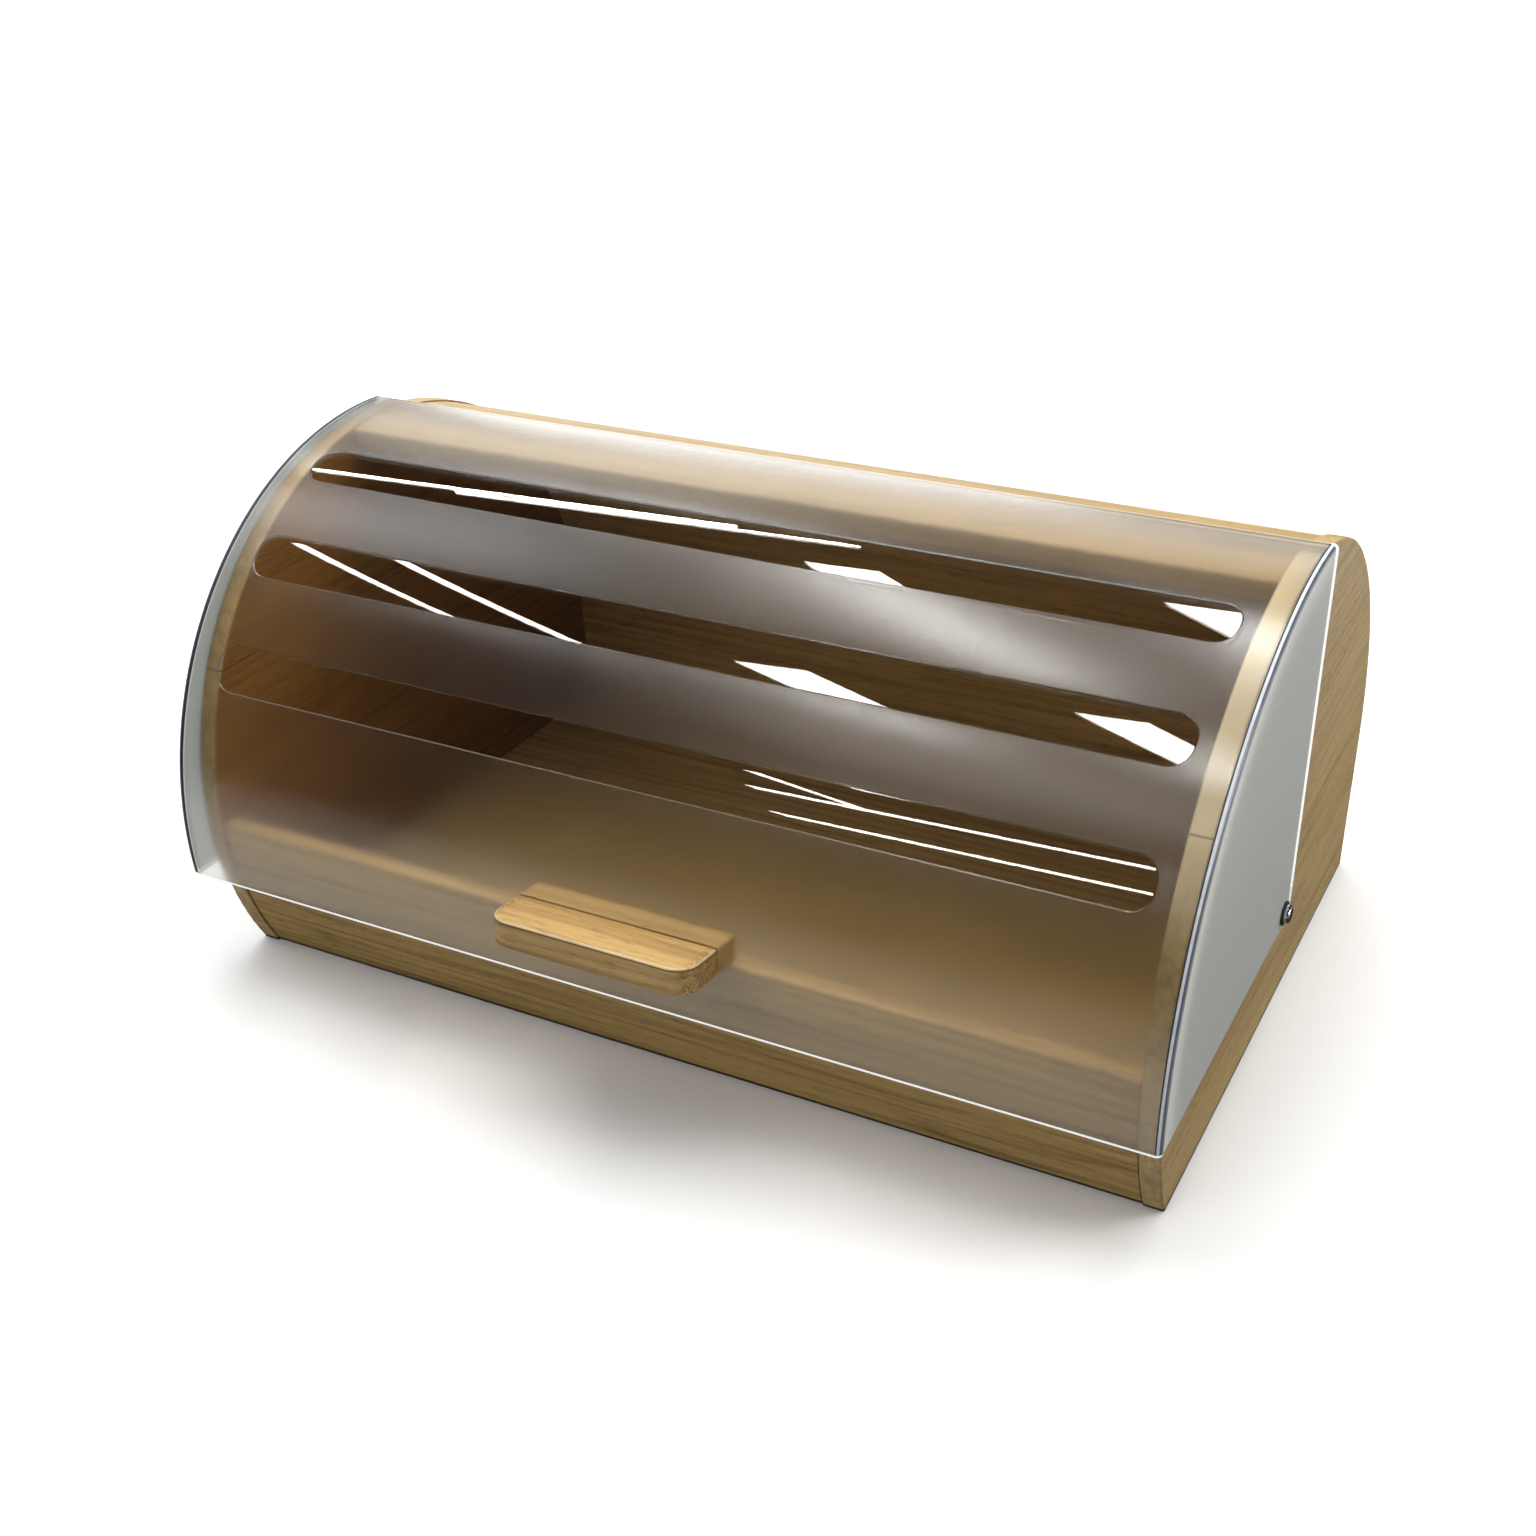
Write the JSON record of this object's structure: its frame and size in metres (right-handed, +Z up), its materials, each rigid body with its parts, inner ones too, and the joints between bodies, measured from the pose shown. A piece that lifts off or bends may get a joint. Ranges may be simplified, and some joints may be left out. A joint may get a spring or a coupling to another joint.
{
  "type": "bread box with roll top",
  "caption": "Wooden bread box with D-shaped end panels and a curved smoky frosted lid that rolls up and back on side pivots, lifted by a small wooden handle.",
  "frame": {"origin": "on the table plane, at mid-length, straight below the lid's pivot axis", "axes": "+X along the box (right as seen from the front), +Y towards the back, +Z up"},
  "size_m": [0.4132, 0.2959, 0.1975],
  "materials": {
    "body_wood": "fine straight-grained bamboo, clear satin lacquer",
    "handle_wood": "bamboo, brighter, clear satin lacquer",
    "dowel_wood": "plain turned wood",
    "frosted_acrylic": "smoke-grey translucent, frosted with clear polished window bands and polished edges",
    "screw_steel": "bright plated steel",
    "black_nylon": "black, matte",
    "white_nylon": "natural white, matte",
    "brass_insert": "turned brass"
  },
  "bodies": {
    "box": {"left_end_panel": "body_wood", "right_end_panel": "body_wood", "base_board": "body_wood", "front_rail": "body_wood", "roof_panel": "body_wood", "back_board": "body_wood", "base_dowels": "dowel_wood", "front_rail_dowels": "dowel_wood", "roof_dowels": "dowel_wood", "back_dowels": "dowel_wood", "left_pivot_insert": "brass_insert", "right_pivot_insert": "brass_insert", "left_pivot_bushing": "white_nylon", "right_pivot_bushing": "white_nylon", "left_pivot_washer": "black_nylon", "right_pivot_washer": "black_nylon", "left_pivot_screw": "screw_steel", "right_pivot_screw": "screw_steel"},
    "lid": {"lid_shell": "frosted_acrylic", "outer_handle": "handle_wood", "inner_handle_block": "handle_wood", "handle_screws": "screw_steel"}
  },
  "joints": [
    {"name": "lid_hinge", "type": "hinge", "parent": "box", "child": "lid", "pos_m": [0, 0, 0.0535], "axis": [-1, 0, 0], "range_deg": [0, 71]}
  ]
}
